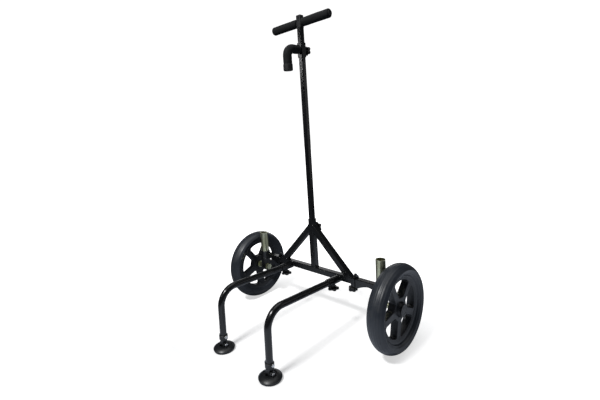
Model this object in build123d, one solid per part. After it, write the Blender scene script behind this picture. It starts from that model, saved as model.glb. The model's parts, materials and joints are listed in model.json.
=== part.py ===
from build123d import *
from math import hypot
import os

# Two-wheeled hand cart for field gear.  Millimetres, +Z up, +Y towards the person who pulls it.
# The origin is on the ground, at the middle of the whole cart seen from above.

SIDES = {"right": 1, "left": -1}

# Wheels and axle
WHEEL_RADIUS = 160.0
WHEEL_X = 378.0             # mid-plane of a wheel
AXLE_Y = 138.0              # the crossbar, the axles and the pole are all above this line
AXLE_RADIUS = 6.0
RUNNING_GAP = 0.05          # radial gap of every shaft that turns in a hole
TYRE_HALF_WIDTH = 33.5
TYRE_CREASE_RADIUS = 143.0
TYRE_CREASE_ROUND = 3.0
TYRE_SEAT_RADIUS = 110.0
SIDEWALL = (28.2, 129.0)    # the sidewall's middle: offset from the wheel's mid-plane, radius
RIM_FLANGE_RADIUS = 115.0
RIM_EDGE = (16.8, 112.0)    # outer corner of the rim's band
RIM_STEP_RADIUS = 106.0     # where the band rises from the web
WEB_HALF = 14.0
SPOKE_COUNT = 5
SPOKE_WIDTH = 26.0
WINDOW_INNER_RADIUS = 42.0
WINDOW_OUTER_RADIUS = 103.7
WINDOW_CORNER = 8.0
FIRST_SPOKE_ANGLE = {"right": -100.0, "left": 57.0}
HUB_RADIUS = 24.0
HUB_ROOT_RADIUS = 28.0      # where the hub meets the web
HUB_INNER = -12.0           # hub faces, measured outwards from the wheel's mid-plane
HUB_OUTER = 24.0
HUB_RECESS_RADIUS = 18.0
HUB_RECESS_FLOOR = 11.0
HUB_CAP_RADIUS = 22.0
HUB_CAP_HEIGHT = 4.5
BUSH_RADIUS = 12.0
BUSH_LENGTH = 10.0
BUSH_FLANGE_RADIUS = 17.0
BUSH_FLANGE = 2.5

# Square tube: the fixed frame is 25 mm, everything that slides inside it is 20 mm
TUBE = 25.0
WALL = 2.0
INNER_TUBE = 20.0
CROSSBAR_Z = 217.5
CROSSBAR_END = 203.0
SLEEVE_TOP = 437.0
BRACE_FOOT_X = 188.6
BRACE_TOP_Z = 408.0
APEX_KNOB_Z = 394.0
ARM_KNOB_X = 192.0
MOUTH_RING_HALF = 15.5
MOUTH_RING_BOTTOM = 197.0
MOUTH_RING_TOP = 240.0
MOUTH_LUG_HALF = 4.5
MOUTH_LUG_TOP = 247.0

# Pole and handle
POLE_BOTTOM = 234.5
POLE_TOP = 1226.0
HANDLE_Z = 1207.5
HANDLE_BAR_RADIUS = 8.0
HANDLE_HALF = 147.4
HANDLE_BAR_WALL = 1.5
PLUG_HEAD = 2.4
GRIP_RADIUS = 16.5
GRIP_INNER_END = 12.0
T_CAP_SIDE = 22.6
T_CAP_BOTTOM = 1190.0
T_CAP_TOP = 1236.0

# Hook that slides on the pole
COLLAR_BOTTOM = 1080.0
COLLAR_TOP = 1134.0
COLLAR_BORE = 20.6
HOOK_Z = 1107.0
HOOK_REACH = 81.0
HOOK_BEND = 28.0
HOOK_TUBE_RADIUS = 10.0
HOOK_TUBE_WALL = 1.5
HOOK_FOAM_RADIUS = 17.0
HOOK_CAP_RADIUS = 18.0
HOOK_CAP_TOP = 1049.0
HOOK_BOTTOM = 1025.0

# Telescoping axle arms and the upright posts on them
ARM_ROOT = 212.0
SPIGOT_INNER_END = 53.0
ARM_TOP = CROSSBAR_Z + TUBE / 2
POST_X = 318.0
POST_RADIUS = 18.0
POST_SHANK_RADIUS = 17.4    # the turned-down end inside the collar
POST_FOOT = 205.0
POST_TOP = 328.0
POST_COLLAR_RADIUS = 22.0
POST_COLLAR_TOP = 238.0
POST_SEAT = 6.0
HANGER_INNER = 309.0
HANGER_OUTER = 329.0
HANGER_HALF = 19.0
ARM_ROOT_BOTTOM = 194.0
ARM_ROOT_LENGTH = 9.0
ARM_WAIST = (266.0, 210.8)     # where the arch is thinnest: x, height of the underside
ARM_END = (304.0, 200.0)
NUT_ACROSS = 24.0
NUT_HEIGHT = 11.0
HEAD_ACROSS = 19.0
FLANGE_WASHER_RADIUS = 16.0
FLANGE_THICKNESS = 2.5
INNER_WASHER_RADIUS = 14.0
OUTER_WASHER_RADIUS = 12.0
SPACER_RADIUS = 11.0
INNER_WASHER = 2.0
OUTER_WASHER = 1.5
END_PLAY = 0.3              # between a bush and the washer beside it
HEAD_HEIGHT = 6.0
THREAD_BEYOND_NUT = 3.0

# Legs and feet
LEG_X = 131.0
LEG_RADIUS = 12.5
LEG_SLOPE = 0.0567          # rise per millimetre forwards
LEG_LEVEL = 212.0           # height of the leg's line below the crossbar's middle
LEG_START = 16.0            # distances forwards from the crossbar
RECEIVER_END = 78.0
RECEIVER_RADIUS = 15.0
LEG_KNOB_FORWARD = 45.0
LEG_CORNER = 388.0
LEG_BEND = 65.0
FOOT_REACH = 395.5
FOOT_RADIUS = 40.5
FOOT_PIVOT_Z = 21.0
FOOT_CROWN = 19.0
PAD_RADIUS = 38.5
PAD_THICKNESS = 4.0
SOCKET_RADIUS = 16.0
SOCKET_BOTTOM = 20.0        # heights in the socket are measured from the pivot
SOCKET_TOP = 38.0
LEG_END = 26.0
SOCKET_SCREW = 32.0
SOCKET_SCREW_RADIUS = 3.0
TONGUE_ROUND = 10.0         # radius of the tongue's lower end, and half its width
TONGUE_HALF = 8.0
PIVOT_RADIUS = 4.0
EAR_OUTER = 15.0
EAR_HALF = 10.0

# Clamp knobs
STUD_RADIUS = 4.0
BOSS_RADIUS = 8.0
KNOB_LOBES = 5
KNOB_NECK = 3.0
KNOB_GAP = 0.8              # between the boss and the tight knob
STUD_IN_KNOB = 8.0
SMALL_GAP = 0.4

TUBE_OUTLINE = RectangleRounded(TUBE, TUBE, 3.0)
TUBE_BORE = RectangleRounded(TUBE - 2 * WALL, TUBE - 2 * WALL, 1.0)
INNER_OUTLINE = RectangleRounded(INNER_TUBE, INNER_TUBE, 2.5)
INNER_BORE = RectangleRounded(INNER_TUBE - 2 * WALL, INNER_TUBE - 2 * WALL, 0.8)


def bar(start, end, outline, across=(0, 1, 0)):
    """Solid bar of a flat outline between two points; across is the outline's own x direction."""
    run = Vector(*end) - Vector(*start)
    plane = Plane(origin=start, x_dir=across, z_dir=run)
    return extrude(plane * outline, amount=run.length)


def tube(start, end, outline, bore, across=(0, 1, 0)):
    return bar(start, end, outline, across) - bar(start, end, bore, across)


def ring(start, end, outer_radius, bore_radius):
    across = (0, 1, 0) if start[1] == end[1] else (1, 0, 0)
    return tube(start, end, Circle(outer_radius), Circle(bore_radius), across)


def rod(start, end, radius):
    across = (0, 1, 0) if start[1] == end[1] else (1, 0, 0)
    return bar(start, end, Circle(radius), across)


def block(low, high):
    """Box between two opposite corners."""
    size = [high[i] - low[i] for i in range(3)]
    middle = [(high[i] + low[i]) / 2 for i in range(3)]
    return Pos(*middle) * Box(*size)


def leg_line(forward):
    """Height of the leg's upper run at a distance in front of the crossbar."""
    return LEG_LEVEL + LEG_SLOPE * forward


def leg_point(side, forward):
    return (side * LEG_X, AXLE_Y - forward, leg_line(forward))


# ---------------------------------------------------------------- clamp screws

def clamp_sites():
    """Where each clamp screw sits: point on the tube's outer face, outward direction, sizes."""
    back = (0, 1, 0)
    down = (0, 0, -1)
    tube_back = AXLE_Y + TUBE / 2
    sites = {
        "apex": dict(face=(0, tube_back, APEX_KNOB_Z), out=back, boss=9.5, reach=2.1, radius=21.0, thick=14.0),
        "hook": dict(face=(0, tube_back, HOOK_Z), out=back, boss=8.0, reach=2.1, radius=17.5, thick=14.0),
    }
    crossbar_bottom = CROSSBAR_Z - TUBE / 2
    receiver_bottom = leg_line(LEG_KNOB_FORWARD) - RECEIVER_RADIUS
    for name, side in SIDES.items():
        arm_face = (side * ARM_KNOB_X, AXLE_Y, crossbar_bottom)
        leg_face = (side * LEG_X, AXLE_Y - LEG_KNOB_FORWARD, receiver_bottom)
        sites[f"arm_{name}"] = dict(face=arm_face, out=down, boss=11.0, reach=2.1, radius=18.0, thick=18.0)
        sites[f"leg_{name}"] = dict(face=leg_face, out=down, boss=6.5, reach=2.0, radius=22.0, thick=12.0)
    return sites


def clamp_plane(site):
    return Plane(origin=site["face"], x_dir=(1, 0, 0), z_dir=site["out"])


def stud_hole(site):
    """Clearance hole for a clamp stud, from inside the tube to beyond the boss."""
    hole = Pos(0, 0, 8) * Cylinder(STUD_RADIUS + RUNNING_GAP, 24)
    return clamp_plane(site) * hole


def clamp_boss(site):
    """Welded nut boss; it starts a little inside the face, for faces that are round."""
    sink = 4.0
    boss = Pos(0, 0, (site["boss"] - sink) / 2) * Cylinder(BOSS_RADIUS, site["boss"] + sink)
    boss = chamfer(boss.edges().sort_by(Axis.Z)[-1], 1.2)
    return clamp_plane(site) * boss - stud_hole(site)


def knob_head(site):
    """Star knob: a scalloped disc on a short round neck."""
    radius = site["radius"]
    outline = Circle(radius)
    for place in PolarLocations(radius + 3.0, KNOB_LOBES):
        outline -= place * Circle(0.4 * radius)
    outline = fillet(outline.vertices(), 2.6)
    head = extrude(Pos(0, 0, KNOB_NECK) * outline, amount=site["thick"] - KNOB_NECK)
    ends = head.edges().group_by(Axis.Z)
    head = fillet(ends[0] + ends[-1], 2.2)
    neck_overlap = 1.0
    neck = Cylinder(0.52 * radius, KNOB_NECK + neck_overlap)
    head += Pos(0, 0, (KNOB_NECK + neck_overlap) / 2) * neck
    dish_depth = 1.2
    head -= Pos(0, 0, site["thick"]) * Cylinder(0.42 * radius, 2 * dish_depth)
    head -= Pos(0, 0, STUD_IN_KNOB / 2) * Cylinder(STUD_RADIUS, STUD_IN_KNOB)
    start = Pos(0, 0, site["boss"] + KNOB_GAP)
    return clamp_plane(site) * (start * head)


def knob_stud(site):
    """Threaded stud, from its seat in the knob to just short of the tube that it clamps."""
    outer = site["boss"] + KNOB_GAP + STUD_IN_KNOB
    inner = -site["reach"]
    stud = Pos(0, 0, (outer + inner) / 2) * Cylinder(STUD_RADIUS, outer - inner)
    return clamp_plane(site) * stud


# ---------------------------------------------------------------- fixed frame

def crossbar(sites):
    start = (-CROSSBAR_END, AXLE_Y, CROSSBAR_Z)
    body = tube(start, (CROSSBAR_END, AXLE_Y, CROSSBAR_Z), TUBE_OUTLINE, TUBE_BORE)
    for name in SIDES:
        body -= stud_hole(sites[f"arm_{name}"])
    return body


def crossbar_collars():
    """Square mouth ring welded on each end of the crossbar, with a small lug standing on its top."""
    thick = ARM_ROOT - CROSSBAR_END - 1.0
    rings = []
    for side in SIDES.values():
        middle = side * (CROSSBAR_END + thick / 2)
        near = middle - thick / 2
        far = middle + thick / 2
        low = (near, AXLE_Y - MOUTH_RING_HALF, MOUTH_RING_BOTTOM)
        plate = block(low, (far, AXLE_Y + MOUTH_RING_HALF, MOUTH_RING_TOP))
        corners = plate.edges().filter_by(Axis.X)
        plate = fillet(corners.group_by(Axis.Z)[-1], 11.0)
        plate = fillet(plate.edges().filter_by(Axis.X).group_by(Axis.Z)[0], 3.0)
        lug_low = (near, AXLE_Y - MOUTH_LUG_HALF, MOUTH_RING_TOP - 5)
        lug = block(lug_low, (far, AXLE_Y + MOUTH_LUG_HALF, MOUTH_LUG_TOP))
        plate += fillet(lug.edges().filter_by(Axis.X).group_by(Axis.Z)[-1], 3.5)
        start = (middle - thick, AXLE_Y, CROSSBAR_Z)
        end = (middle + thick, AXLE_Y, CROSSBAR_Z)
        rings.append(plate - bar(start, end, TUBE_BORE))
    return Compound(children=rings)


def upright_sleeve(sites):
    bottom = CROSSBAR_Z + TUBE / 2
    body = tube((0, AXLE_Y, bottom), (0, AXLE_Y, SLEEVE_TOP), TUBE_OUTLINE, TUBE_BORE, (1, 0, 0))
    return body - stud_hole(sites["apex"])


def brace(side):
    """Sloping tube, cut flat against the crossbar's top and the sleeve's side."""
    foot = (side * BRACE_FOOT_X, AXLE_Y, CROSSBAR_Z)
    top = (0, AXLE_Y, BRACE_TOP_Z)
    body = tube(foot, top, TUBE_OUTLINE, TUBE_BORE)
    below = block((-300, AXLE_Y - 30, 100), (300, AXLE_Y + 30, CROSSBAR_Z + TUBE / 2))
    inside = Pos(-side * 20, AXLE_Y, 400) * Box(TUBE + 40, 60, 200)
    return body - below - inside


def leg_receiver(side, site):
    """Round socket welded on the crossbar's front face."""
    outline = Circle(RECEIVER_RADIUS)
    bore = Circle(LEG_RADIUS + RUNNING_GAP)
    body = tube(leg_point(side, 0), leg_point(side, RECEIVER_END), outline, bore, (1, 0, 0))
    front = AXLE_Y - TUBE / 2
    body -= block((side * LEG_X - 40, front, 150), (side * LEG_X + 40, front + 60, 260))
    return body - stud_hole(site)


def clamp_bosses(sites):
    """The five welded nut bosses of the frame."""
    bosses = []
    for name, site in sites.items():
        if name == "hook":
            continue
        boss = clamp_boss(site)
        if name.startswith("leg"):
            side = SIDES[name[4:]]
            receiver = Circle(RECEIVER_RADIUS)
            boss -= bar(leg_point(side, 0), leg_point(side, RECEIVER_END), receiver, (1, 0, 0))
        else:
            inner = clamp_plane(site) * (Pos(0, 0, -5) * Box(40, 40, 10))
            boss -= inner
        bosses.append(boss)
    return Compound(children=bosses)


# ---------------------------------------------------------------- pole and handle

def cross_hole():
    return rod((-60, AXLE_Y, HANDLE_Z), (60, AXLE_Y, HANDLE_Z), HANDLE_BAR_RADIUS)


def pole_tube():
    body = tube((0, AXLE_Y, POLE_BOTTOM), (0, AXLE_Y, POLE_TOP), INNER_OUTLINE, INNER_BORE, (1, 0, 0))
    return body - cross_hole()


def pole_foot_plug():
    """Plastic plug that closes the pole's lower end and lands on the crossbar."""
    flange = bar((0, AXLE_Y, POLE_BOTTOM - 3), (0, AXLE_Y, POLE_BOTTOM), INNER_OUTLINE, (1, 0, 0))
    insert = bar((0, AXLE_Y, POLE_BOTTOM), (0, AXLE_Y, POLE_BOTTOM + 18), INNER_BORE, (1, 0, 0))
    return flange + insert


def handle_socket():
    """Moulded cap over the pole's top; the handle bar passes through it."""
    outline = RectangleRounded(T_CAP_SIDE, T_CAP_SIDE, 4.5)
    body = bar((0, AXLE_Y, T_CAP_BOTTOM), (0, AXLE_Y, T_CAP_TOP), outline, (1, 0, 0))
    body = fillet(body.edges().group_by(Axis.Z)[-1], 4.2)
    body -= bar((0, AXLE_Y, T_CAP_BOTTOM - 5), (0, AXLE_Y, POLE_TOP), INNER_OUTLINE, (1, 0, 0))
    return body - cross_hole()


def handle_bar():
    end = HANDLE_HALF - PLUG_HEAD
    bore = HANDLE_BAR_RADIUS - HANDLE_BAR_WALL
    return ring((-end, AXLE_Y, HANDLE_Z), (end, AXLE_Y, HANDLE_Z), HANDLE_BAR_RADIUS, bore)


def handle_end_plugs():
    plugs = []
    for side in SIDES.values():
        end = side * (HANDLE_HALF - PLUG_HEAD)
        head = rod((end, AXLE_Y, HANDLE_Z), (side * HANDLE_HALF, AXLE_Y, HANDLE_Z), HANDLE_BAR_RADIUS + 2.0)
        stem_start = (end - side * 12, AXLE_Y, HANDLE_Z)
        stem = rod(stem_start, (end, AXLE_Y, HANDLE_Z), HANDLE_BAR_RADIUS - HANDLE_BAR_WALL)
        plugs.append(head + stem)
    return Compound(children=plugs)


def grip(side):
    """Foam grip, a thick sleeve with rounded ends."""
    start = (side * GRIP_INNER_END, AXLE_Y, HANDLE_Z)
    end = (side * (HANDLE_HALF - PLUG_HEAD), AXLE_Y, HANDLE_Z)
    body = rod(start, end, GRIP_RADIUS)
    body = fillet(body.edges().filter_by(GeomType.CIRCLE), 3.0)
    bore_start = (start[0] - side, AXLE_Y, HANDLE_Z)
    return body - rod(bore_start, (end[0] + side, AXLE_Y, HANDLE_Z), HANDLE_BAR_RADIUS)


# ---------------------------------------------------------------- hook

def hook_route(start, bottom):
    """Out from the pole, round one bend and straight down."""
    front = AXLE_Y - HOOK_REACH
    points = [(0, AXLE_Y - start, HOOK_Z), (0, front, HOOK_Z), (0, front, bottom)]
    return FilletPolyline(*points, radius=HOOK_BEND)


def swept(route, radius):
    section = Plane(origin=route @ 0, z_dir=route % 0) * Circle(radius)
    return sweep(section, path=route)


def hook_collar(site):
    body = tube((0, AXLE_Y, COLLAR_BOTTOM), (0, AXLE_Y, COLLAR_TOP), TUBE_OUTLINE,
                RectangleRounded(COLLAR_BORE, COLLAR_BORE, 1.5), (1, 0, 0))
    return body - stud_hole(site)


def hook_boss(site):
    return clamp_boss(site) - clamp_plane(site) * (Pos(0, 0, -5) * Box(40, 40, 10))


def hook_tube():
    route = hook_route(TUBE / 2, HOOK_BOTTOM + 5)
    return swept(route, HOOK_TUBE_RADIUS) - swept(route, HOOK_TUBE_RADIUS - HOOK_TUBE_WALL)


def hook_foam():
    outer = hook_route(TUBE / 2 + 3.5, HOOK_CAP_TOP)
    return swept(outer, HOOK_FOAM_RADIUS) - swept(outer, HOOK_TUBE_RADIUS)


def hook_end_cap():
    """Rubber cap over the hook's end, with two shallow bands."""
    front = AXLE_Y - HOOK_REACH
    body = rod((0, front, HOOK_BOTTOM), (0, front, HOOK_CAP_TOP), HOOK_CAP_RADIUS)
    body = fillet(body.edges().filter_by(GeomType.CIRCLE).sort_by(Axis.Z)[0], 3.0)
    body = fillet(body.edges().filter_by(GeomType.CIRCLE).sort_by(Axis.Z)[-1], 1.2)
    for height in (HOOK_BOTTOM + 7, HOOK_BOTTOM + 14):
        top = (0, front, height + 1.6)
        body -= ring((0, front, height), top, HOOK_CAP_RADIUS + 2, HOOK_CAP_RADIUS - 0.8)
    return body - rod((0, front, HOOK_BOTTOM + 5), (0, front, HOOK_CAP_TOP + 1), HOOK_TUBE_RADIUS)


# ---------------------------------------------------------------- telescoping arms

def arm_spigot(side):
    start = (side * SPIGOT_INNER_END, AXLE_Y, CROSSBAR_Z)
    return tube(start, (side * ARM_ROOT, AXLE_Y, CROSSBAR_Z), INNER_OUTLINE, INNER_BORE)


def arm_bracket(side):
    """Arched arm, the seat of the post, and the wide hanger that carries the axle."""
    root = (ARM_ROOT + ARM_ROOT_LENGTH, ARM_ROOT_BOTTOM)
    root_corner = (ARM_ROOT, ARM_ROOT_BOTTOM)
    outline = Polyline(ARM_END, (ARM_END[0], ARM_TOP), (ARM_ROOT, ARM_TOP), root_corner, root)
    outline += ThreePointArc(root, (243.0, 204.5), ARM_WAIST)
    outline += ThreePointArc(ARM_WAIST, (286.0, 208.5), ARM_END)
    arm = extrude(Plane.XZ * make_face(outline), amount=TUBE / 2, both=True)
    arm = fillet(arm.edges().filter_by(Axis.X), 2.5)
    body = Pos(0, AXLE_Y, 0) * arm
    body -= rod((POST_X, AXLE_Y, POST_FOOT), (POST_X, AXLE_Y, ARM_TOP + 10), POST_COLLAR_RADIUS)
    body += rod((POST_X, AXLE_Y, POST_FOOT - POST_SEAT), (POST_X, AXLE_Y, POST_FOOT), POST_COLLAR_RADIUS)
    low = (HANGER_INNER, AXLE_Y - HANGER_HALF, WHEEL_RADIUS)
    body += block(low, (HANGER_OUTER, AXLE_Y + HANGER_HALF, POST_FOOT - 1))
    body += rod((HANGER_INNER, AXLE_Y, WHEEL_RADIUS), (HANGER_OUTER, AXLE_Y, WHEEL_RADIUS), HANGER_HALF)
    axle_start = (HANGER_INNER - 5, AXLE_Y, WHEEL_RADIUS)
    body -= rod(axle_start, (HANGER_OUTER + 5, AXLE_Y, WHEEL_RADIUS), AXLE_RADIUS)
    return body if side > 0 else mirror(body, about=Plane.YZ)


def post_collar(side):
    x = side * POST_X
    body = ring((x, AXLE_Y, POST_FOOT), (x, AXLE_Y, POST_COLLAR_TOP), POST_COLLAR_RADIUS, POST_SHANK_RADIUS)
    top_circles = body.edges().filter_by(GeomType.CIRCLE).group_by(Axis.Z)[-1]
    return chamfer(top_circles.sort_by(SortBy.RADIUS)[-1], 2.0)


def post_tube(side):
    """Round post for a seat's leg; its turned-down end is fixed in the collar."""
    x = side * POST_X
    shank = rod((x, AXLE_Y, POST_FOOT), (x, AXLE_Y, POST_COLLAR_TOP), POST_SHANK_RADIUS)
    body = shank + rod((x, AXLE_Y, POST_COLLAR_TOP), (x, AXLE_Y, POST_TOP), POST_RADIUS)
    return body - rod((x, AXLE_Y, POST_FOOT - 1), (x, AXLE_Y, POST_TOP + 1), POST_RADIUS - WALL)


def hex_disc(start, end, across_flats, bore_radius):
    outline = RegularPolygon(across_flats / 2, 6, major_radius=False)
    if bore_radius:
        outline -= Circle(bore_radius)
    return bar(start, end, outline)


def axle(side):
    """Axle bolt with a hexagon head in the hub's recess."""
    shoulder = side * (WHEEL_X + HUB_RECESS_FLOOR + BUSH_FLANGE + END_PLAY + OUTER_WASHER)
    thread_end = side * (HANGER_INNER - INNER_WASHER - NUT_HEIGHT - THREAD_BEYOND_NUT)
    shank = rod((thread_end, AXLE_Y, WHEEL_RADIUS), (shoulder, AXLE_Y, WHEEL_RADIUS), AXLE_RADIUS)
    head_end = shoulder + side * HEAD_HEIGHT
    head = hex_disc((shoulder, AXLE_Y, WHEEL_RADIUS), (head_end, AXLE_Y, WHEEL_RADIUS), HEAD_ACROSS, 0)
    return shank + head


def axle_hardware(side):
    """Lock nut, washer, spacer with a flange against the wheel, and outer washer, all on the axle."""
    flange_end = WHEEL_X + HUB_INNER - BUSH_FLANGE - END_PLAY
    flange_start = flange_end - FLANGE_THICKNESS
    outer_start = WHEEL_X + HUB_RECESS_FLOOR + BUSH_FLANGE + END_PLAY
    nut_face = HANGER_INNER - INNER_WASHER
    stops = [
        (nut_face, HANGER_INNER, INNER_WASHER_RADIUS),
        (HANGER_OUTER, flange_start, SPACER_RADIUS),
        (flange_start, flange_end, FLANGE_WASHER_RADIUS),
        (outer_start, outer_start + OUTER_WASHER, OUTER_WASHER_RADIUS),
    ]
    rings = []
    for near, far, radius in stops:
        start = (side * near, AXLE_Y, WHEEL_RADIUS)
        rings.append(ring(start, (side * far, AXLE_Y, WHEEL_RADIUS), radius, AXLE_RADIUS))
    washer, spacer, flange, outer_washer = rings
    nut_start = (side * (nut_face - NUT_HEIGHT), AXLE_Y, WHEEL_RADIUS)
    nut = hex_disc(nut_start, (side * nut_face, AXLE_Y, WHEEL_RADIUS), NUT_ACROSS, AXLE_RADIUS)
    return Compound(children=[nut, washer, spacer + flange, outer_washer])


# ---------------------------------------------------------------- wheels, built about their own centre

def wheel_place(side):
    """Moves a wheel piece to its place; its outer face is modelled towards +X."""
    turn = Rot(0, 0, 0) if side > 0 else Rot(0, 0, 180)
    return Pos(side * WHEEL_X, AXLE_Y, WHEEL_RADIUS) * turn


def tyre_section():
    """Half of the tyre's outline, from its seat out to the crease: offset, radius."""
    return [(12.0, TYRE_SEAT_RADIUS), (15.0, RIM_FLANGE_RADIUS), (17.5, RIM_FLANGE_RADIUS), (19.0, 117.8)]


def tyre(side):
    near = tyre_section()
    far = [(-offset, radius) for offset, radius in near]
    crease = (TYRE_HALF_WIDTH, TYRE_CREASE_RADIUS)
    outline = Polyline(*reversed(near), *far)
    outline += ThreePointArc(near[-1], SIDEWALL, crease)
    outline += ThreePointArc(crease, (0, WHEEL_RADIUS), (-crease[0], crease[1]))
    outline += ThreePointArc((-crease[0], crease[1]), (-SIDEWALL[0], SIDEWALL[1]), far[-1])
    body = revolve(Plane.XZ * make_face(outline), axis=Axis.X)
    creases = [edge for edge in body.edges() if abs(abs(edge.center().X) - TYRE_HALF_WIDTH) < 0.01]
    return wheel_place(side) * fillet(creases, TYRE_CREASE_ROUND)


def window_outline():
    """The five rounded openings between the spokes, one spoke along the outline's own x axis."""
    outline = Circle(WINDOW_OUTER_RADIUS) - Circle(WINDOW_INNER_RADIUS)
    for index in range(SPOKE_COUNT):
        spoke = Pos(80, 0) * Rectangle(120, SPOKE_WIDTH)
        outline -= Rot(0, 0, index * 360 / SPOKE_COUNT) * spoke
    return fillet(outline.vertices(), WINDOW_CORNER)


def rim(side, first_spoke):
    """Moulded wheel centre: tyre seat, five-spoke web and hub in one piece."""
    half = [(WEB_HALF, HUB_ROOT_RADIUS), (WEB_HALF, RIM_STEP_RADIUS), RIM_EDGE]
    seat = tyre_section()[:3]
    far_side = [(-offset, radius) for offset, radius in half]
    far_seat = [(-offset, radius) for offset, radius in seat]
    outline = [(HUB_OUTER, BUSH_RADIUS), (HUB_OUTER, HUB_RADIUS), *half, *reversed(seat)]
    outline += [*far_seat, *reversed(far_side), (HUB_INNER, HUB_RADIUS), (HUB_INNER, BUSH_RADIUS)]
    body = revolve(Plane.XZ * make_face(Polyline(*outline, close=True)), axis=Axis.X)
    spin = first_spoke if side > 0 else 180 - first_spoke
    windows = extrude(Plane.YZ * (Rot(0, 0, spin) * window_outline()), amount=40, both=True)
    body -= windows
    lips = [edge for edge in body.edges() if is_window_lip(edge)]
    body = fillet(lips, 2.5)
    recess = rod((HUB_RECESS_FLOOR, 0, 0), (HUB_OUTER + 1, 0, 0), HUB_RECESS_RADIUS)
    body -= recess
    rounds = [edge for edge in body.edges() if is_hub_lip(edge)]
    return wheel_place(side) * fillet(rounds, 1.5)


def is_window_lip(edge):
    """An edge of a spoke window on either face of the web, but not the hub's or the rim's circle."""
    on_face = abs(abs((edge @ 0).X) - WEB_HALF) < 0.01 and abs(abs((edge @ 1).X) - WEB_HALF) < 0.01
    return on_face and edge.length < 150


def is_hub_lip(edge):
    """The outer circle of the hub's outer face."""
    radius = hypot((edge @ 0).Y, (edge @ 0).Z)
    return abs((edge @ 0).X - HUB_OUTER) < 0.01 and radius > HUB_RADIUS - 1


def hub_cap():
    """Push-in cap over the axle's head, with a shallow ring groove on its face."""
    rim_start = HUB_OUTER - 4.0
    face = HUB_OUTER + HUB_CAP_HEIGHT
    cap = rod((HUB_OUTER, 0, 0), (face, 0, 0), HUB_CAP_RADIUS)
    cap = fillet(cap.edges().sort_by(Axis.X)[-1], 2.0)
    cap -= ring((face - 0.8, 0, 0), (face + 1, 0, 0), 14.0, 12.4)
    return cap + ring((rim_start, 0, 0), (HUB_OUTER, 0, 0), HUB_RECESS_RADIUS, HUB_RECESS_RADIUS - 2.0)


def hub_fittings(side):
    """Two flanged bushes that press into the hub from its two faces, and its cap."""
    pieces = []
    for face, outward in ((HUB_INNER, -1), (HUB_RECESS_FLOOR, 1)):
        barrel = rod((face - outward * BUSH_LENGTH, 0, 0), (face, 0, 0), BUSH_RADIUS)
        flange = rod((face, 0, 0), (face + outward * BUSH_FLANGE, 0, 0), BUSH_FLANGE_RADIUS)
        bore = rod((face - 30, 0, 0), (face + 30, 0, 0), AXLE_RADIUS + RUNNING_GAP)
        pieces.append(wheel_place(side) * (barrel + flange - bore))
    pieces.append(wheel_place(side) * hub_cap())
    return Compound(children=pieces)


# ---------------------------------------------------------------- legs and feet

def foot_pivot(side):
    return Vector(side * LEG_X, AXLE_Y - FOOT_REACH, FOOT_PIVOT_Z)


def socket_plane(side):
    """Frame at the foot's pivot, its z axis up the leg's lower run."""
    corner = Vector(*leg_point(side, LEG_CORNER))
    return Plane(origin=foot_pivot(side), x_dir=(1, 0, 0), z_dir=corner - foot_pivot(side))


def leg_tube(side):
    plane = socket_plane(side)
    end = plane.from_local_coords(Vector(0, 0, LEG_END))
    points = [Vector(*leg_point(side, LEG_START)), Vector(*leg_point(side, LEG_CORNER)), end]
    route = FilletPolyline(*points, radius=LEG_BEND)
    body = swept(route, LEG_RADIUS) - swept(route, LEG_RADIUS - WALL)
    return body - plane * (Pos(0, 0, SOCKET_SCREW) * Rot(0, 90, 0) * Cylinder(SOCKET_SCREW_RADIUS, 60))


def foot_socket(side):
    """Cup over the leg's end, with a rounded tongue below it for the pivot bolt."""
    height = SOCKET_TOP - SOCKET_BOTTOM
    body = Pos(0, 0, SOCKET_BOTTOM + height / 2) * Cylinder(SOCKET_RADIUS, height)
    body = fillet(body.edges().filter_by(GeomType.CIRCLE), 2.2)
    tongue = Pos(0, 0, SOCKET_BOTTOM / 2) * Box(2 * TONGUE_HALF, 2 * TONGUE_ROUND, SOCKET_BOTTOM)
    body += tongue + Rot(0, 90, 0) * Cylinder(TONGUE_ROUND, 2 * TONGUE_HALF)
    body -= Pos(0, 0, LEG_END + 20) * Cylinder(LEG_RADIUS, 40)
    body -= Rot(0, 90, 0) * Cylinder(PIVOT_RADIUS, 60)
    body -= Pos(0, 0, SOCKET_SCREW) * Rot(0, 90, 0) * Cylinder(SOCKET_SCREW_RADIUS, 60)
    return socket_plane(side) * body


def cross_bolt(height, half_grip, radius, head_radius):
    """Round-headed bolt along X, with its nut; returned as two solids."""
    turn = Pos(0, 0, height) * Rot(0, 90, 0)
    shank = Pos(0, 0, -2.5) * Cylinder(radius, 2 * half_grip + 5)
    head = Pos(0, 0, half_grip + 1.8) * Cylinder(head_radius, 3.6)
    head = fillet(head.edges().sort_by(Axis.Z)[-1], 1.6)
    nut = extrude(Pos(0, 0, -half_grip - 4) * (RegularPolygon(head_radius, 6) - Circle(radius)), amount=4)
    return [turn * (shank + head), turn * nut]


def foot_bolts(side):
    """The screw through the socket and the pivot bolt of the foot, each with its nut."""
    pieces = cross_bolt(SOCKET_SCREW, SOCKET_RADIUS, SOCKET_SCREW_RADIUS, 6.0)
    pieces += cross_bolt(0, EAR_OUTER + 0.3, PIVOT_RADIUS, 6.5)
    return Compound(children=[socket_plane(side) * piece for piece in pieces])


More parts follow.
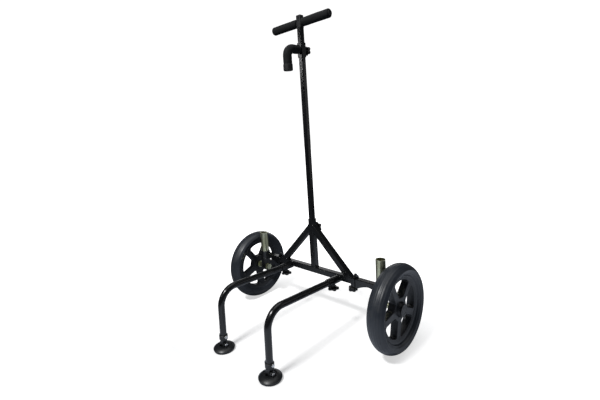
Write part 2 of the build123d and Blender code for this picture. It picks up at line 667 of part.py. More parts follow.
def foot_disc(side):
    """Low domed foot; two ears hold the pivot bolt, and the socket's tongue goes down between them."""
    centre = foot_pivot(side)
    edge = (FOOT_RADIUS, 9.0)
    crown = (17.0, FOOT_CROWN - 1)
    pad_corner = (PAD_RADIUS, PAD_THICKNESS)
    outline = Polyline(crown, (0, FOOT_CROWN), (0, PAD_THICKNESS), pad_corner, (FOOT_RADIUS, 6.0), edge)
    outline += ThreePointArc(edge, (33.5, 14.2), crown)
    dome = revolve(Plane.XZ * make_face(outline), axis=Axis.Z)
    pivot = Pos(0, 0, FOOT_PIVOT_Z) * Rot(0, 90, 0)
    dome += block((-EAR_OUTER, -EAR_HALF, PAD_THICKNESS + 4), (EAR_OUTER, EAR_HALF, FOOT_PIVOT_Z))
    dome += pivot * Cylinder(EAR_HALF, 2 * EAR_OUTER)
    slot_floor = FOOT_PIVOT_Z - TONGUE_ROUND - SMALL_GAP
    half = TONGUE_HALF + SMALL_GAP
    dome -= block((-half, -16.0, slot_floor), (half, 16.0, FOOT_PIVOT_Z + 20))
    dome -= pivot * Cylinder(PIVOT_RADIUS + RUNNING_GAP, 2 * EAR_OUTER + 10)
    for hand in SIDES.values():
        dome -= Pos(hand * (EAR_OUTER + 5), 0, 0) * pivot * Cylinder(8.5, 10)
    return Pos(centre.X, centre.Y, 0) * dome


def foot_pad(side):
    """Rubber tread disc under the foot."""
    centre = foot_pivot(side)
    pad = Pos(0, 0, PAD_THICKNESS / 2) * Cylinder(PAD_RADIUS, PAD_THICKNESS)
    pad = fillet(pad.edges().sort_by(Axis.Z)[0], 1.2)
    return Pos(centre.X, centre.Y, 0) * pad


# ---------------------------------------------------------------- all nodes

def build_nodes():
    sites = clamp_sites()
    nodes = {
        "crossbar": crossbar(sites),
        "crossbar_collars": crossbar_collars(),
        "upright_sleeve": upright_sleeve(sites),
        "clamp_bosses": clamp_bosses(sites),
        "pole_tube": pole_tube(),
        "pole_foot_plug": pole_foot_plug(),
        "handle_socket": handle_socket(),
        "handle_bar": handle_bar(),
        "handle_end_plugs": handle_end_plugs(),
        "hook_collar": hook_collar(sites["hook"]),
        "hook_boss": hook_boss(sites["hook"]),
        "hook_tube": hook_tube(),
        "hook_foam": hook_foam(),
        "hook_end_cap": hook_end_cap(),
    }
    for name, side in SIDES.items():
        nodes[f"brace_{name}"] = brace(side)
        nodes[f"leg_receiver_{name}"] = leg_receiver(side, sites[f"leg_{name}"])
        nodes[f"grip_{name}"] = grip(side)
        nodes[f"arm_spigot_{name}"] = arm_spigot(side)
        nodes[f"arm_bracket_{name}"] = arm_bracket(side)
        nodes[f"post_collar_{name}"] = post_collar(side)
        nodes[f"post_tube_{name}"] = post_tube(side)
        nodes[f"axle_{name}"] = axle(side)
        nodes[f"axle_hardware_{name}"] = axle_hardware(side)
        nodes[f"tyre_{name}"] = tyre(side)
        nodes[f"rim_{name}"] = rim(side, FIRST_SPOKE_ANGLE[name])
        nodes[f"hub_fittings_{name}"] = hub_fittings(side)
        nodes[f"leg_tube_{name}"] = leg_tube(side)
        nodes[f"foot_socket_{name}"] = foot_socket(side)
        nodes[f"foot_bolts_{name}"] = foot_bolts(side)
        nodes[f"foot_disc_{name}"] = foot_disc(side)
        nodes[f"foot_pad_{name}"] = foot_pad(side)
    for name, site in sites.items():
        nodes[f"knob_{name}"] = knob_head(site)
        nodes[f"knob_stud_{name}"] = knob_stud(site)
    return nodes


os.makedirs("parts", exist_ok=True)
for node, shape in build_nodes().items():
    export_step(shape, f"parts/{node}.step")
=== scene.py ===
import json
import math
import random

import bmesh
import bpy
from mathutils import Matrix, Vector, noise


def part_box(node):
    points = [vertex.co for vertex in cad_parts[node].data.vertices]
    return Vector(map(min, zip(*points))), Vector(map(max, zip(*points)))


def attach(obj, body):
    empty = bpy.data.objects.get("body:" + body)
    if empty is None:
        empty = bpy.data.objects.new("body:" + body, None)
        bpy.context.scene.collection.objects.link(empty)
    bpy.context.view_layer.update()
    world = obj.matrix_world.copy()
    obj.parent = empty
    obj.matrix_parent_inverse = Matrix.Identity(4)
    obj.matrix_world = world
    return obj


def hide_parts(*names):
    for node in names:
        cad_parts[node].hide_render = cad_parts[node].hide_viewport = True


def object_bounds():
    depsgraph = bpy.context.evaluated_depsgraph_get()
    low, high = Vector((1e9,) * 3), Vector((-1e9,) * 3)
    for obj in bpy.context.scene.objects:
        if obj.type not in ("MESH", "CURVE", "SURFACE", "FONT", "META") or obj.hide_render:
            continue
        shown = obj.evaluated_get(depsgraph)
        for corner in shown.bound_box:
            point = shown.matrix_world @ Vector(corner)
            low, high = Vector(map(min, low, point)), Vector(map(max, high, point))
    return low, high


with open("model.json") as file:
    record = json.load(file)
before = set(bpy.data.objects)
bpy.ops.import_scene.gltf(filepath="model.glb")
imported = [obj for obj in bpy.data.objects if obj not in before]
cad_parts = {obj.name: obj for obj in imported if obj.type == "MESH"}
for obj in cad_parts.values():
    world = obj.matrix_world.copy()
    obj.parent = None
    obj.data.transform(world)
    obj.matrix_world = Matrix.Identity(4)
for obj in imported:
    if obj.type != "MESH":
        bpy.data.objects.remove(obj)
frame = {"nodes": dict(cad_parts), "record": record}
cad_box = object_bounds()
NODES = frame["nodes"]
SIDES = {"right": 1, "left": -1}
X_AXIS, Y_AXIS, UP = Vector((1, 0, 0)), Vector((0, 1, 0)), Vector((0, 0, 1))

FLOOR_WHITE = (0.80, 0.80, 0.80)
# The floor's own glow lightens its shadows, in front of the cart and behind it
FLOOR_GLOW = 0.31
FLOOR_GLOW_BACK = 0.60
# Painted light on the floor, seen only in reflections: how white it is, from the middles of two painted pools
# of light to the painted dimness of the rest
FLOOR_BOUNCE = 0.90
DIM_BOUNCE = 0.13
PAINTED_LIGHT_PATCHES = ((0.32, -0.40, 0.0), (0.65, 0.50, 0.0))
AMBIENT = 0.05
COOL = (0.90, 0.97, 1.10)       # tint of the dim light all round

# The glow rises with distance from this point, so that the cart's shadows fade out
SHADOW_CENTRE = (0.0, -0.1, 0.0)
FADE_START, FADE_END, FADE_RISE = 0.42, 1.13, 0.8
BACK_START, BACK_END = -0.38, 0.05      # along Y, where the glow rises from front to back
PATCH_CORE, PATCH_EDGE = 0.3, 0.95      # radii of a painted pool of light

# The camera: degrees turned, tipped down and rolled; place, with Y measured from the axle; lens in mm
VIEW_TURN, VIEW_TIP, VIEW_ROLL = 44.84, 8.55, -3.90
VIEW_PLACE = (0.9834, -1.0795, 0.8109)
LENS, SENSOR_WIDTH = 21.673, 36.0
LENS_SHIFT = (0.0097, -0.0287)

FOAM_INSET = 0.0004             # how far a foam surface lies inside its CAD solid, before its dents
GRIP_SPACING = 0.0013           # between the rings of a grip's mesh
GRIP_END_ROUND = 0.0055         # length of the rounding at a grip's end
GRIP_END_DROP = 0.0052          # and its depth

HOOK_BEND = 0.028
HOOK_SPACING = 0.0012           # between the rings of the hook sleeve's mesh
HOOK_NECK = 0.0138              # radius of the sleeve where it is pinched at the collar
HOOK_NECK_LENGTH = 0.016
CREASE_DEPTH = 0.0011
CREASES = 4.5                   # waves of creasing inside the hook's bend

TYRE_SECTION_RADIUS = 0.136     # distance of the tyre section's middle from the axle
TYRE_RINGS = 18.0               # moulding rings in a whole turn round that section
TREAD_START, TREAD_END = 0.1500, 0.1560     # radii between which the road scuffs set in

WELD_SPACING = 0.0011
WELD_RIPPLE = 0.0032            # from one ripple of a weld to the next
WELD_BEAD, THIN_BEAD = 0.0021, 0.0016
RECEIVER_RADIUS = 0.0150
POST_RADIUS = 0.0180
COLLAR_RADIUS = 0.0220
WELD_OFFSET = 0.0002            # of a post weld's middle from the edge that it runs round


# ---------------------------------------------------------------- places, from the frame

def middle(node):
    low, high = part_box(node)
    return (low + high) / 2


def size(node):
    low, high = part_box(node)
    return high - low


AXLE_Y = middle("crossbar").y
CROSSBAR_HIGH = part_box("crossbar")[1]
TUBE = size("crossbar").z


# ---------------------------------------------------------------- camera

def make_camera():
    """A wide view from in front and to the right, at two thirds of the cart's height."""
    yaw, pitch, roll = (math.radians(angle) for angle in (VIEW_TURN, VIEW_TIP, VIEW_ROLL))
    eye = Vector(VIEW_PLACE) + Vector((0, AXLE_Y, 0))
    ahead = math.cos(pitch)
    forward = Vector((-math.sin(yaw) * ahead, math.cos(yaw) * ahead, -math.sin(pitch)))
    level = Vector((math.cos(yaw), math.sin(yaw), 0))
    lift = level.cross(forward)
    right = math.cos(roll) * level + math.sin(roll) * lift
    above = -math.sin(roll) * level + math.cos(roll) * lift
    data = bpy.data.cameras.new("view")
    data.sensor_width = SENSOR_WIDTH
    data.lens = LENS
    data.shift_x, data.shift_y = LENS_SHIFT
    camera = bpy.data.objects.new("view", data)
    bpy.context.scene.collection.objects.link(camera)
    turn = Matrix((right, above, -forward)).transposed().to_4x4()
    camera.matrix_world = Matrix.Translation(eye) @ turn
    bpy.context.scene.camera = camera


# ---------------------------------------------------------------- materials

class Finish:
    """One procedural material, built up by small steps on a Principled shader."""

    def __init__(self, name, color, **sockets):
        self.material = bpy.data.materials.new(name)
        self.material.use_nodes = True
        self.tree = self.material.node_tree
        self.shader = self.tree.nodes["Principled BSDF"]
        self.color = color
        self.bumps = None
        self.shader.inputs["Base Color"].default_value = (*color, 1)
        for label, value in sockets.items():
            self.shader.inputs[label.replace("_", " ")].default_value = value
        self.place = self.add("ShaderNodeTexCoord").outputs["Object"]

    def add(self, kind, inputs=(), **settings):
        node = self.tree.nodes.new(kind)
        for label, value in settings.items():
            setattr(node, label, value)
        for label, value in dict(inputs).items():
            if isinstance(value, bpy.types.NodeSocket):
                self.tree.links.new(value, node.inputs[label])
            else:
                node.inputs[label].default_value = value
        return node

    def moved(self, centre=(0, 0, 0), scale=(1, 1, 1)):
        """Object coordinates measured from a centre, then stretched."""
        shift = self.add("ShaderNodeVectorMath", {0: self.place, 1: centre}, operation="SUBTRACT")
        return self.add("ShaderNodeMapping", {"Vector": shift.outputs[0], "Scale": scale}).outputs[0]

    def noise(self, scale, detail=4.0, roughness=0.55, place=None, distortion=0.0):
        inputs = {"Vector": place or self.place, "Scale": scale, "Detail": detail, "Roughness": roughness,
                  "Distortion": distortion}
        return self.add("ShaderNodeTexNoise", inputs).outputs["Fac"]

    def cells(self, scale):
        inputs = {"Vector": self.place, "Scale": scale}
        return self.add("ShaderNodeTexVoronoi", inputs).outputs["Distance"]

    def remap(self, value, low, high, new_low, new_high):
        inputs = {"Value": value, "From Min": low, "From Max": high, "To Min": new_low, "To Max": new_high}
        return self.add("ShaderNodeMapRange", inputs).outputs["Result"]

    def times(self, first, second):
        return self.add("ShaderNodeMath", {0: first, 1: second}, operation="MULTIPLY").outputs[0]

    def sum(self, first, second):
        return self.add("ShaderNodeMath", {0: first, 1: second}, operation="ADD").outputs[0]

    def plus(self, first, second):
        """Sum held between 0 and 1."""
        return self.add("ShaderNodeMath", {0: first, 1: second}, operation="ADD", use_clamp=True).outputs[0]

    def tint(self, amount, color):
        """Blends the colour so far towards another by a 0 to 1 value."""
        socket = self.shader.inputs["Base Color"]
        before = socket.links[0].from_socket if socket.links else (*self.color, 1)
        mix = self.add("ShaderNodeMix", data_type="RGBA")
        self.tree.links.new(amount, mix.inputs[0])
        if isinstance(before, bpy.types.NodeSocket):
            self.tree.links.new(before, mix.inputs[6])
        else:
            mix.inputs[6].default_value = before
        mix.inputs[7].default_value = (*color, 1)
        self.tree.links.new(mix.outputs[2], socket)

    def rough(self, value):
        self.tree.links.new(value, self.shader.inputs["Roughness"])

    def bump(self, height, strength, distance):
        inputs = {"Height": height, "Strength": strength, "Distance": distance}
        if self.bumps:
            inputs["Normal"] = self.bumps
        self.bumps = self.add("ShaderNodeBump", inputs).outputs["Normal"]
        self.tree.links.new(self.bumps, self.shader.inputs["Normal"])

    def edges(self, radius=0.0012, low=0.02, high=0.16):
        """1 at edges and 0 on flat stretches: how far a rounded normal is from the true one."""
        rounded = self.add("ShaderNodeBevel", {"Radius": radius}, samples=6).outputs["Normal"]
        true = self.add("ShaderNodeNewGeometry").outputs["Normal"]
        both = {0: rounded, 1: true}
        dot = self.add("ShaderNodeVectorMath", both, operation="DOT_PRODUCT").outputs["Value"]
        turned = self.add("ShaderNodeMath", {0: 1.0, 1: dot}, operation="SUBTRACT").outputs[0]
        return self.remap(turned, low, high, 0.0, 1.0)


def paint():
    """Satin black powder coat: fine orange peel, faint cloudiness, rubbed edges and a few long scuffs."""
    finish = Finish("black_paint", (0.0040, 0.0042, 0.0047), Specular_IOR_Level=0.5)
    cloud = finish.noise(9.0, 3.0)
    peel = finish.noise(900.0, 2.0)
    scuffs = finish.noise(60.0, 5.0, 0.7, finish.moved(scale=(1.0, 1.0, 0.08)))
    rubbed = finish.times(finish.edges(), finish.remap(finish.noise(55.0, 5.0, 0.7), 0.48, 0.62, 0.0, 1.0))
    finish.tint(finish.remap(cloud, 0.35, 0.7, 0.0, 0.6), (0.008, 0.0083, 0.009))
    finish.tint(finish.times(rubbed, 0.55), (0.05, 0.05, 0.052))
    scratch = finish.remap(scuffs, 0.62, 0.72, 0.0, 1.0)
    finish.tint(finish.times(scratch, 0.25), (0.035, 0.035, 0.037))
    base = finish.remap(cloud, 0.3, 0.7, 0.17, 0.27)
    finish.rough(finish.plus(finish.plus(base, finish.times(scratch, 0.12)), finish.times(rubbed, 0.15)))
    finish.bump(peel, 0.12, 0.0001)
    return finish.material


def moulded(name, color, light, rough_low, rough_high):
    """Injection-moulded plastic: fine spark-eroded grain, flow clouding and paler worn edges."""
    finish = Finish(name, color, Specular_IOR_Level=0.5)
    cloud = finish.noise(14.0, 3.0)
    fine = finish.noise(1400.0, 2.0, 0.6)
    patchy = finish.remap(finish.noise(70.0, 4.0, 0.7), 0.45, 0.65, 0.15, 1.0)
    worn = finish.times(finish.edges(0.0010), patchy)
    finish.tint(finish.remap(cloud, 0.35, 0.7, 0.0, 0.55), light)
    finish.tint(finish.times(worn, 0.5), tuple(4.0 * channel for channel in light))
    base = finish.remap(cloud, 0.3, 0.7, rough_low, rough_high)
    finish.rough(finish.plus(base, finish.times(worn, 0.1)))
    finish.bump(fine, 0.5, 0.00012)
    return finish.material


def tyre_rubber(name, centre):
    """Solid foam rubber: soft sheen, wavering moulding rings right round it and light road scuffing."""
    finish = Finish(name, (0.0145, 0.0185, 0.0250), Specular_IOR_Level=0.5, Sheen_Weight=0.03,
                    Sheen_Roughness=0.5)
    local = finish.moved(centre)
    parts = finish.add("ShaderNodeSeparateXYZ", {0: local}).outputs
    squares = [finish.times(parts[axis], parts[axis]) for axis in ("Y", "Z")]
    radius = finish.add("ShaderNodeMath", {0: finish.sum(*squares), 1: 0.5}, operation="POWER").outputs[0]
    above = finish.add("ShaderNodeMath", {0: radius, 1: TYRE_SECTION_RADIUS}, operation="SUBTRACT").outputs[0]
    round_section = finish.add("ShaderNodeMath", {0: parts["X"], 1: above}, operation="ARCTAN2").outputs[0]
    wavy = finish.sum(finish.times(round_section, TYRE_RINGS), finish.times(finish.noise(9.0, 2.0), 2.0))
    ripple = finish.add("ShaderNodeMath", {0: wavy}, operation="SINE").outputs[0]
    tread = finish.remap(radius, TREAD_START, TREAD_END, 0.0, 1.0)
    cloud = finish.noise(11.0, 4.0, 0.6)
    skin = finish.noise(420.0, 4.0, 0.65)
    scuffed = finish.times(tread, finish.remap(finish.noise(45.0, 6.0, 0.75), 0.45, 0.68, 0.0, 1.0))
    finish.tint(finish.remap(cloud, 0.35, 0.7, 0.0, 0.8), (0.022, 0.027, 0.036))
    finish.tint(finish.times(scuffed, 0.55), (0.034, 0.036, 0.039))
    finish.rough(finish.plus(finish.remap(cloud, 0.3, 0.7, 0.32, 0.42), finish.times(scuffed, 0.18)))
    finish.bump(ripple, 0.7, 0.0003)
    finish.bump(skin, 0.5, 0.00025)
    return finish.material


def closed_foam(name):
    """Black closed-cell foam: skin of small cells, with pits, and no shine."""
    finish = Finish(name, (0.0033, 0.0037, 0.0042), Specular_IOR_Level=0.22, Sheen_Weight=0.03,
                    Sheen_Roughness=0.6)
    cells = finish.cells(620.0)
    pits = finish.remap(finish.cells(240.0), 0.0, 0.32, 0.0, 1.0)
    cloud = finish.noise(38.0, 5.0, 0.65)
    finish.tint(finish.remap(cloud, 0.38, 0.68, 0.0, 0.9), (0.0078, 0.0086, 0.0097))
    finish.rough(finish.remap(cloud, 0.3, 0.7, 0.68, 0.86))
    finish.bump(cloud, 0.4, 0.0008)
    finish.bump(pits, 0.45, 0.0005)
    finish.bump(cells, 0.6, 0.0003)
    return finish.material


def rubber(name):
    """Matt moulded rubber: soft clouding and a fine grain."""
    finish = Finish(name, (0.0095, 0.0095, 0.0100), Specular_IOR_Level=0.4)
    cloud = finish.noise(30.0, 4.0, 0.6)
    finish.tint(finish.remap(cloud, 0.35, 0.7, 0.0, 0.7), (0.019, 0.019, 0.020))
    finish.rough(finish.remap(cloud, 0.3, 0.7, 0.48, 0.66))
    finish.bump(finish.noise(800.0, 3.0, 0.6), 0.5, 0.0002)
    return finish.material


def plated(name, color, warm, rough_low, rough_high):
    """Zinc plate: fine upright drawing lines, faint warm patches and dull spots."""
    finish = Finish(name, color, Metallic=1.0)
    patch = finish.noise(26.0, 4.0, 0.6, distortion=0.6)
    drawn = finish.noise(700.0, 3.0, 0.6, finish.moved(scale=(1.0, 1.0, 0.03)))
    spots = finish.remap(finish.noise(95.0, 6.0, 0.75), 0.60, 0.72, 0.0, 1.0)
    finish.tint(finish.remap(patch, 0.35, 0.68, 0.0, 0.9), warm)
    finish.tint(finish.times(spots, 0.35), tuple(0.45 * channel for channel in color))
    base = finish.remap(patch, 0.3, 0.7, rough_low, rough_high)
    finish.rough(finish.plus(base, finish.times(spots, 0.2)))
    finish.bump(drawn, 0.25, 0.0001)
    return finish.material


def make_materials():
    look = {"black_paint": paint(), "foam": closed_foam("foam"), "soft_rubber": rubber("soft_rubber")}
    # name: colour, colour of its paler clouds, lowest and highest roughness
    plastics = {
        "black_plastic": ((0.0085, 0.0088, 0.0095), (0.0150, 0.0155, 0.0165), 0.34, 0.46),
        "knob_plastic": ((0.0055, 0.0056, 0.0060), (0.0095, 0.0095, 0.0100), 0.42, 0.55),
        "foot_plastic": ((0.0060, 0.0068, 0.0078), (0.0120, 0.0132, 0.0148), 0.32, 0.46),
        "rim_plastic": ((0.0150, 0.0170, 0.0210), (0.0220, 0.0250, 0.0310), 0.36, 0.50),
    }
    platings = {
        "yellow_zinc": ((0.62, 0.64, 0.47), (0.55, 0.54, 0.33), 0.27, 0.40),
        "steel": ((0.62, 0.62, 0.62), (0.52, 0.51, 0.49), 0.22, 0.34),
    }
    for name, values in plastics.items():
        look[name] = moulded(name, *values)
    for name, values in platings.items():
        look[name] = plated(name, *values)
    for side in SIDES:
        look[f"tyre_{side}"] = tyre_rubber(f"tyre_{side}", middle(f"tyre_{side}"))
    return look


def coat(item, material):
    item.data.materials.clear()
    item.data.materials.append(material)


def coat_frame(look):
    for entry in frame["record"]["subparts"]:
        node, slot = entry["node"], entry["material_slot"]
        coat(NODES[node], look[node] if slot == "tyre" else look[slot])


# ---------------------------------------------------------------- mesh making

def new_piece(name, mesh_data, body, slot, look):
    """A finished mesh becomes a piece that rides on a body."""
    item = bpy.data.objects.new(name, mesh_data)
    bpy.context.scene.collection.objects.link(item)
    for polygon in mesh_data.polygons:
        polygon.use_smooth = True
    coat(item, look[slot])
    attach(item, body)
    return item


def frames_along(points, closed=False):
    """Point, and two directions square to the run, at every point of a route."""
    count = len(points)
    result = []
    side = None
    for index, point in enumerate(points):
        after = points[(index + 1) % count] if closed or index < count - 1 else point
        before = points[index - 1] if closed or index else point
        run = (after - before).normalized()
        if side is None:
            side = run.orthogonal().normalized()
        side = (side - run * side.dot(run)).normalized()
        result.append((point, side, run.cross(side)))
    return result


def tube_mesh(name, points, radius_at, segments, bore, closed=False):
    """Mesh tube on a route, whose radius is radius_at(share of the length, angle round it).

    An open tube's ends are flat, each a ring and a disc of the bore's radius.
    """
    mesh = bmesh.new()
    rings = []
    places = frames_along(points, closed)
    for index, place in enumerate(places):
        share = index / (len(places) - 1)
        rings.append(ring_round(mesh, place, segments, lambda angle: radius_at(share, angle)))
    pairs = list(zip(rings, rings[1:]))
    if closed:
        pairs.append((rings[-1], rings[0]))
    for first, second in pairs:
        for step in range(segments):
            following = (step + 1) % segments
            mesh.faces.new((first[step], first[following], second[following], second[step]))
    if not closed:
        for ring, place in ((rings[0], places[0]), (rings[-1], places[-1])):
            close_end(mesh, ring, place, bore)
    bmesh.ops.recalc_face_normals(mesh, faces=mesh.faces)
    data = bpy.data.meshes.new(name)
    mesh.to_mesh(data)
    mesh.free()
    return data


def ring_round(mesh, place, count, radius_at):
    """Evenly spaced vertices round one place of a route."""
    point, side, up = place
    ring = []
    for step in range(count):
        angle = 2 * math.pi * step / count
        spoke = math.cos(angle) * side + math.sin(angle) * up
        ring.append(mesh.verts.new(point + radius_at(angle) * spoke))
    return ring


def close_end(mesh, ring, place, bore):
    """Closes a tube's end with a flat ring and a disc of the bore's radius."""
    count = len(ring)
    inner = ring_round(mesh, place, count, lambda angle: bore)
    for step in range(count):
        following = (step + 1) % count
        mesh.faces.new((ring[step], ring[following], inner[following], inner[step]))
    mesh.faces.new(inner)


def corner_route(points, bend, spacing):
    """Straight runs joined by circular bends, as evenly spaced points."""
    route = [points[0]]
    for before, corner, after in zip(points, points[1:], points[2:]):
        first = (before - corner).normalized()
        second = (after - corner).normalized()
        half = first.angle(second) / 2
        back = bend / math.tan(half)
        centre = corner + (first + second).normalized() * (bend / math.sin(half))
        start, end = corner + first * back, corner + second * back
        sweep = math.pi - 2 * half
        steps = max(2, round(bend * sweep / spacing))
        for step in range(steps + 1):
            spoke = (start - centre).slerp(end - centre, step / steps).normalized()
            route.append(centre + spoke * bend)
    route.append(points[-1])
    return resampled(route, spacing)


def resampled(route, spacing):
    """The same route as evenly spaced points."""
    lengths = [(b - a).length for a, b in zip(route, route[1:])]
    count = max(2, round(sum(lengths) / spacing))
    step = sum(lengths) / count
    result = [route[0]]
    travelled, index = 0.0, 0
    for number in range(1, count):
        target = number * step
        while travelled + lengths[index] < target:
            travelled += lengths[index]
            index += 1
        result.append(route[index].lerp(route[index + 1], (target - travelled) / lengths[index]))
    result.append(route[-1])
    return result


# ---------------------------------------------------------------- soft pieces

def dents(place, depth, finer):
    """Uneven dips of a soft surface: large ones, and finer ones half as deep."""
    return depth * noise.noise(place) + depth / 2 * noise.noise(place * finer)


def foam_grip(side, look):
    """Foam handle grip with softly rounded ends and small uneven dips."""
    name = f"grip_{side}"
    low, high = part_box(name)
    sign = SIDES[side]
    inner, outer = (low.x, high.x) if sign > 0 else (high.x, low.x)
    centre = middle(name)
    radius = (high.z - low.z) / 2
    length = abs(outer - inner)
    start, end = Vector((inner, centre.y, centre.z)), Vector((outer, centre.y, centre.z))

    def radius_at(share, angle):
        distance = min(share, 1 - share) * length
        edge = 1.0 if distance > GRIP_END_ROUND else math.sqrt(1 - (1 - distance / GRIP_END_ROUND) ** 2)
        place = Vector((share * length * 22, 2.2 * math.cos(angle), 2.2 * math.sin(angle) + 5 * sign))
        return radius - FOAM_INSET - GRIP_END_DROP * (1 - edge) + dents(place, 0.0005, 3.1)

    points = resampled([start, end], GRIP_SPACING)
    bore = size("handle_bar").z / 2 + 0.0003
    data = tube_mesh(f"foam_grip_{side}", points, radius_at, 64, bore)
    piece = new_piece(f"foam_grip_{side}", data, "pole", "foam", look)
    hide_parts(name)


def hook_sleeve(look):
    """Foam sleeve of the hook: pulled thin at the collar, creased inside its bend, full on the drop."""
    low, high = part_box("hook_foam")
    radius = size("hook_foam").x / 2
    level, front = high.z - radius, low.y + radius
    corners = [Vector((0, high.y, level)), Vector((0, front, level)), Vector((0, front, low.z))]
    route = corner_route(corners, HOOK_BEND, HOOK_SPACING)
    length = (len(route) - 1) * HOOK_SPACING
    bend_start = high.y - front - HOOK_BEND
    bend_length = HOOK_BEND * math.pi / 2
    halfway, side, up = frames_along(route)[len(route) // 2]
    toward = Vector((0, high.y, low.z)) - halfway
    inside_angle = math.atan2(toward.dot(up), toward.dot(side))

    def radius_at(share, angle):
        along = share * length
        taper = min(1.0, along / HOOK_NECK_LENGTH)
        body = HOOK_NECK + (radius - FOAM_INSET - HOOK_NECK) * math.sin(taper * math.pi / 2)
        through = (along - bend_start) / bend_length
        crease = 0.0
        if -0.15 < through < 1.15:
            inside = max(0.0, math.cos(angle - inside_angle))
            fade = math.sin(math.pi * (through + 0.15) / 1.3)
            crease = CREASE_DEPTH * fade * inside ** 2 * math.sin(through * 2 * math.pi * CREASES)
        place = Vector((share * 9, 1.6 * math.cos(angle), 1.6 * math.sin(angle)))
        return body + crease + dents(place, 0.0004, 3.7)

    data = tube_mesh("hook_foam_sleeve", route, radius_at, 56, size("hook_tube").x / 2 + 0.0002)
    piece = new_piece("hook_foam_sleeve", data, "hook", "foam", look)
    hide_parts("hook_foam")


# ---------------------------------------------------------------- weld beads

def weld(name, corners, body, look, seed, bead=WELD_BEAD, closed=True):
    """Painted weld bead along a route: overlapping ripples, uneven width."""
    loop = corners + corners[:1] if closed else corners
    route = resampled(loop, WELD_SPACING)
    if closed:
        route = route[:-1]
    phase = random.Random(seed).uniform(0, 6)

    def radius_at(share, angle):
        along = share * len(route) * WELD_SPACING
        ripple = abs(math.sin(along / WELD_RIPPLE * math.pi + phase))
        drift = noise.noise(Vector((along * 90, seed * 3.1, 0)))
        return bead * (0.78 + 0.22 * ripple + 0.18 * drift)

    data = tube_mesh(name, route, radius_at, 10, 0.0005, closed)
    new_piece(name, data, body, "black_paint", look)


def tube_outline(centre, across, along, width=TUBE, height=TUBE, corner=0.003):
    """Rectangle with bevelled corners, where the end of a square tube meets the face it is welded to."""
    half_w, half_h = width / 2, height / 2
    outline = []
    for u, v in ((1, 1), (-1, 1), (-1, -1), (1, -1)):
        tip = Vector((u * half_w, v * half_h))
        pulls = [Vector((0, -v * corner)), Vector((-u * corner, 0))]
        if u * v < 0:
            pulls.reverse()
        for pull in pulls:
            spot = tip + pull
            outline.append(centre + across * spot.x + along * spot.y)
    return outline


def arc(centre, across, along, radius, first, sweep, count=40):
    """Points of an arc in the plane of two directions, with both its ends."""
    points = []
    for step in range(count + 1):
        angle = first + sweep * step / count
        points.append(centre + radius * (math.cos(angle) * across + math.sin(angle) * along))
    return points


def circle(centre, across, along, radius):
    """The same for a whole turn, whose last point isn't repeated."""
    return arc(centre, across, along, radius, 0.0, 2 * math.pi)[:-1]


def frame_welds(side, number, look):
    """Welds of one side of the frame: the brace's two ends, the leg receiver and the crossbar's mouth."""
    sign = SIDES[side]
    brace_low, brace_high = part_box(f"brace_{side}")
    outer = brace_high.x if sign > 0 else brace_low.x
    cut = TUBE * math.sqrt(2)       # length of a brace's end, which is cut at 45 degrees
    foot = Vector((outer - sign * cut / 2, AXLE_Y, CROSSBAR_HIGH.z))
    head = Vector((sign * TUBE / 2, AXLE_Y, brace_high.z - cut / 2))
    foot_outline = tube_outline(foot, X_AXIS, Y_AXIS, width=cut)
    head_outline = tube_outline(head, Y_AXIS, UP, height=cut)
    weld(f"weld_brace_foot_{side}", foot_outline, "frame", look, 10 + number)
    weld(f"weld_brace_head_{side}", head_outline, "frame", look, 20 + number)
    low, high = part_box(f"leg_receiver_{side}")
    receiver = Vector((middle(f"leg_receiver_{side}").x, high.y, low.z + RECEIVER_RADIUS))
    upper_part = arc(receiver, X_AXIS, UP, RECEIVER_RADIUS, -0.5, math.pi + 1.0)
    weld(f"weld_receiver_{side}", upper_part, "frame", look, 30 + number, closed=False)
    mouth = Vector((sign * abs(CROSSBAR_HIGH.x), AXLE_Y, middle("crossbar").z))
    weld(f"weld_mouth_{side}", tube_outline(mouth, Y_AXIS, UP), "frame", look, 40 + number)


def post_welds(side, number, look):
    """The thin weld between a post and its collar's top, and the one under the collar."""
    low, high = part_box(f"post_collar_{side}")
    centre = middle(f"post_collar_{side}")
    top = Vector((centre.x, centre.y, high.z - 2 * WELD_OFFSET))
    seat = Vector((centre.x, centre.y, low.z))
    top_circle = circle(top, X_AXIS, Y_AXIS, POST_RADIUS + WELD_OFFSET)
    seat_circle = circle(seat, X_AXIS, Y_AXIS, COLLAR_RADIUS - WELD_OFFSET)
    weld(f"weld_post_{side}", top_circle, f"arm_{side}", look, 50 + number, bead=THIN_BEAD)
    weld(f"weld_post_seat_{side}", seat_circle, f"arm_{side}", look, 60 + number)


def all_welds(look):
    sleeve_foot = Vector((0, AXLE_Y, CROSSBAR_HIGH.z))
    weld("weld_sleeve", tube_outline(sleeve_foot, X_AXIS, Y_AXIS), "frame", look, 2)
    for number, side in enumerate(SIDES):
        frame_welds(side, number, look)
        post_welds(side, number, look)


# ---------------------------------------------------------------- studio

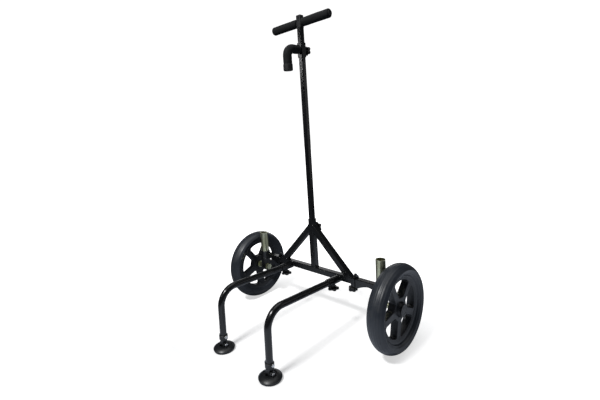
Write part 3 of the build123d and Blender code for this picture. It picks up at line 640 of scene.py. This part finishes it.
def floor_material():
    """White floor: shadows show only close to the cart, and further out it fades into the white backdrop.

    What the cart's own surfaces reflect of it is painted light: two bright painted patches, in front and to
    the right, and painted dimness further out.
    """
    material = bpy.data.materials.new("floor")
    material.use_nodes = True
    tree = material.node_tree
    tree.nodes.remove(tree.nodes["Principled BSDF"])

    def add(kind, *links, operation=None, **values):
        node = tree.nodes.new(kind)
        if operation:
            node.operation = operation
        for label, value in values.items():
            node.inputs[label.replace("_", " ")].default_value = value
        for socket, label in links:
            tree.links.new(socket, node.inputs[label])
        return node

    def distance_from(point):
        apart = add("ShaderNodeVectorMath", (place, 0), operation="DISTANCE")
        apart.inputs[1].default_value = point
        return apart.outputs["Value"]

    def ramp(value, start, end, low, high):
        limits = {"From_Min": start, "From_Max": end, "To_Min": low, "To_Max": high}
        return add("ShaderNodeMapRange", (value, "Value"), **limits).outputs["Result"]

    seen = add("ShaderNodeLightPath").outputs["Is Camera Ray"]
    place = add("ShaderNodeTexCoord").outputs["Object"]
    outwards = ramp(distance_from(SHADOW_CENTRE), FADE_START, FADE_END, 0.0, FADE_RISE)
    along_y = add("ShaderNodeSeparateXYZ", (place, 0)).outputs["Y"]
    backwards = ramp(along_y, BACK_START, BACK_END, FLOOR_GLOW, FLOOR_GLOW_BACK)
    fade = add("ShaderNodeMath", (outwards, 0), (backwards, 1), operation="ADD").outputs[0]
    glow = add("ShaderNodeMath", (seen, 0), (fade, 1), operation="MULTIPLY").outputs[0]
    shown = add("ShaderNodeBsdfDiffuse", Color=(*FLOOR_WHITE, 1))
    # painted pools of light, which the cart sees only in its reflections, with painted dimness round them
    painted_pools = []
    for patch in PAINTED_LIGHT_PATCHES:
        painted_pools.append(ramp(distance_from(patch), PATCH_CORE, PATCH_EDGE, FLOOR_BOUNCE, DIM_BOUNCE))
    painted_light = add("ShaderNodeMath", (painted_pools[0], 0), (painted_pools[1], 1), operation="MAXIMUM").outputs[0]
    cooled = add("ShaderNodeVectorMath", (painted_light, "Scale"), operation="SCALE")
    cooled.inputs[0].default_value = COOL
    bounced = add("ShaderNodeBsdfDiffuse", (cooled.outputs[0], "Color"))
    light = add("ShaderNodeEmission", (glow, "Strength"))
    surface = add("ShaderNodeMixShader", (seen, 0), (bounced.outputs[0], 1), (shown.outputs[0], 2))
    total = add("ShaderNodeAddShader", (surface.outputs[0], 0), (light.outputs[0], 1))
    tree.links.new(total.outputs[0], tree.nodes["Material Output"].inputs["Surface"])
    return material


def make_floor():
    """Pale floor that goes on past the view."""
    mesh = bmesh.new()
    bmesh.ops.create_circle(mesh, cap_ends=True, radius=14.0, segments=96)
    data = bpy.data.meshes.new("floor")
    mesh.to_mesh(data)
    mesh.free()
    floor = bpy.data.objects.new("floor", data)
    bpy.context.scene.collection.objects.link(floor)
    floor.location.z = cad_box[0][2] - 0.0003
    data.materials.append(floor_material())


def softbox(name, place, target, width, height, power, diffuse=True):
    """Rectangular lamp. One that isn't diffuse shows only as a reflection."""
    data = bpy.data.lights.new(name, "AREA")
    data.shape = "RECTANGLE"
    data.size = width
    data.size_y = height
    data.energy = power
    lamp = bpy.data.objects.new(name, data)
    bpy.context.scene.collection.objects.link(lamp)
    lamp.location = place
    lamp.rotation_euler = (Vector(target) - Vector(place)).to_track_quat("-Z", "Y").to_euler()
    lamp.visible_diffuse = diffuse


def make_world():
    """White to the camera, dim all round for everything else."""
    world = bpy.data.worlds.new("studio")
    bpy.context.scene.world = world
    world.use_nodes = True
    tree = world.node_tree
    ambient = tree.nodes["Background"]
    ambient.inputs["Color"].default_value = (*COOL, 1)
    ambient.inputs["Strength"].default_value = AMBIENT
    backdrop = tree.nodes.new("ShaderNodeBackground")
    backdrop.inputs["Color"].default_value = (1, 1, 1, 1)
    backdrop.inputs["Strength"].default_value = 1.1
    seen = tree.nodes.new("ShaderNodeLightPath")
    mix = tree.nodes.new("ShaderNodeMixShader")
    tree.links.new(seen.outputs["Is Camera Ray"], mix.inputs[0])
    tree.links.new(ambient.outputs[0], mix.inputs[1])
    tree.links.new(backdrop.outputs[0], mix.inputs[2])
    tree.links.new(mix.outputs[0], tree.nodes["World Output"].inputs["Surface"])


def make_studio():
    """Two lamps light the cart and the floor, and three more show only as reflections."""
    make_world()
    softbox("key", (0.0, -1.9, 2.9), (0, 0.1, 0.2), 0.6, 0.3, 80)
    softbox("top", (0.1, 0.4, 3.2), (0, 0.1, 0.2), 2.4, 2.4, 22)
    softbox("pole_glint", (-2.26, -2.33, 1.67), (0, 0.1, 1.0), 0.3, 0.12, 3, diffuse=False)
    softbox("backdrop_left", (-2.2, 2.6, 1.0), (0, 0.1, 0.3), 2.6, 1.2, 12, diffuse=False)
    softbox("backdrop_right", (2.6, 2.1, 0.9), (0, 0.1, 0.5), 1.4, 1.6, 4, diffuse=False)
    bpy.context.scene.view_settings.view_transform = "Standard"


# ---------------------------------------------------------------- scene

def main():
    make_camera()
    look = make_materials()
    coat_frame(look)
    for side in SIDES:
        foam_grip(side, look)
    hook_sleeve(look)
    all_welds(look)
    make_floor()
    make_studio()


main()
